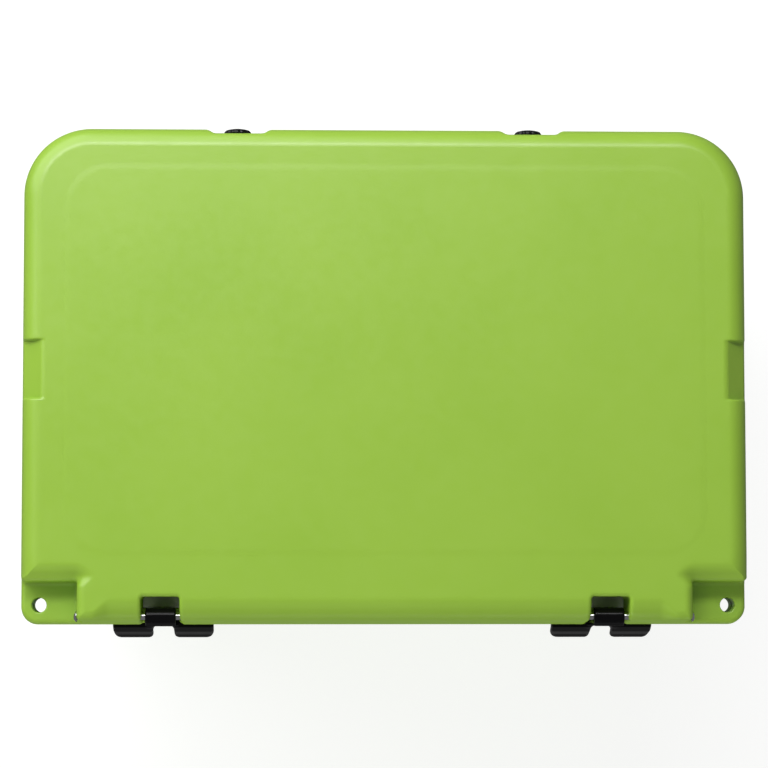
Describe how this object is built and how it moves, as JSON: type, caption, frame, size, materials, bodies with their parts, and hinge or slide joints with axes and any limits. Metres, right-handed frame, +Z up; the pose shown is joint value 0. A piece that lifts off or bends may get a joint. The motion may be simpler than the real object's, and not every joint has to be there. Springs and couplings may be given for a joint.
{
  "type": "hard-sided cooler chest",
  "caption": "Insulated roto-moulded cooler chest: hinged lid with lock ears, rubber pull latches, swing-out bail handles, screw drain plug, cargo-net knobs and rubber feet.",
  "frame": {"origin": "on the floor under the middle of the bounding box", "axes": "+Z up, -Y towards the latches at the front, +X towards the end with the drain plug"},
  "size_m": [0.648, 0.4633, 0.451],
  "materials": {
    "lime_plastic": "satin",
    "white_plastic": "satin",
    "insulation_foam": "matte",
    "black_rubber": "matte",
    "black_plastic": "gloss",
    "stainless_steel": "satin"
  },
  "bodies": {
    "chest": {"body_shell": "lime_plastic", "body_foam": "insulation_foam", "body_liner": "white_plastic", "base_foam_plug": "black_plastic", "foot_front_left": "black_rubber", "foot_front_right": "black_rubber", "foot_rear_left": "black_rubber", "foot_rear_right": "black_rubber", "foot_screw_front_left": "stainless_steel", "foot_screw_front_right": "stainless_steel", "foot_screw_rear_left": "stainless_steel", "foot_screw_rear_right": "stainless_steel", "net_knob_upper_left": "black_plastic", "net_knob_upper_right": "black_plastic", "net_knob_lower_left": "black_plastic", "net_knob_lower_right": "black_plastic", "net_knob_screw_upper_left": "stainless_steel", "net_knob_screw_upper_right": "stainless_steel", "net_knob_screw_lower_left": "stainless_steel", "net_knob_screw_lower_right": "stainless_steel", "drain_fitting": "black_plastic", "drain_lock_nut": "black_plastic", "drain_gasket": "black_rubber", "handle_bush_front_left": "black_plastic", "handle_bush_front_right": "black_plastic", "handle_bush_rear_left": "black_plastic", "handle_bush_rear_right": "black_plastic"},
    "lid": {"lid_shell": "lime_plastic", "lid_foam": "insulation_foam", "lid_liner": "white_plastic", "lid_foam_plug_left": "white_plastic", "lid_foam_plug_right": "white_plastic", "lid_gasket": "black_rubber", "hinge_rod": "stainless_steel", "hinge_rod_plug_left": "black_plastic", "hinge_rod_plug_right": "black_plastic", "latch_pin_left": "stainless_steel", "latch_pin_right": "stainless_steel"},
    "latch_left": {"latch_left": "black_rubber"},
    "latch_right": {"latch_right": "black_rubber"},
    "handle_left": {"handle_bail_left": "stainless_steel", "handle_grip_left": "black_rubber"},
    "handle_right": {"handle_bail_right": "stainless_steel", "handle_grip_right": "black_rubber"},
    "drain_seal": {"drain_plug_seal": "black_rubber"},
    "drain_plug": {"drain_plug": "black_plastic"}
  },
  "joints": [
    {"name": "lid_hinge", "type": "hinge", "parent": "chest", "child": "lid", "pos_m": [0, 0.209, 0.407], "axis": [-1, 0, 0], "range_deg": [0, 95]},
    {"name": "latch_left_hinge", "type": "hinge", "parent": "lid", "child": "latch_left", "pos_m": [-0.1984, -0.2121, 0.43], "axis": [-1, 0, 0], "range_deg": [0, 110]},
    {"name": "latch_right_hinge", "type": "hinge", "parent": "lid", "child": "latch_right", "pos_m": [0.1984, -0.2121, 0.43], "axis": [-1, 0, 0], "range_deg": [0, 110]},
    {"name": "handle_left_hinge", "type": "hinge", "parent": "chest", "child": "handle_left", "pos_m": [-0.298, 0.004, 0.335], "axis": [0, 1, 0], "range_deg": [0, 110]},
    {"name": "handle_right_hinge", "type": "hinge", "parent": "chest", "child": "handle_right", "pos_m": [0.298, 0.004, 0.335], "axis": [0, -1, 0], "range_deg": [0, 110]},
    {"name": "drain_plug_travel", "type": "slide", "parent": "chest", "child": "drain_seal", "axis": [1, 0, 0], "range_m": [0, 0.012]},
    {"name": "drain_plug_turn", "type": "hinge", "parent": "drain_seal", "child": "drain_plug", "pos_m": [0.29, 0.004, 0.084], "axis": [1, 0, 0], "range_deg": [0, 1440]}
  ],
  "couplings": [
    {"joint": "drain_plug_travel", "follows": "drain_plug_turn", "m_per_rad": 0.00047746}
  ]
}
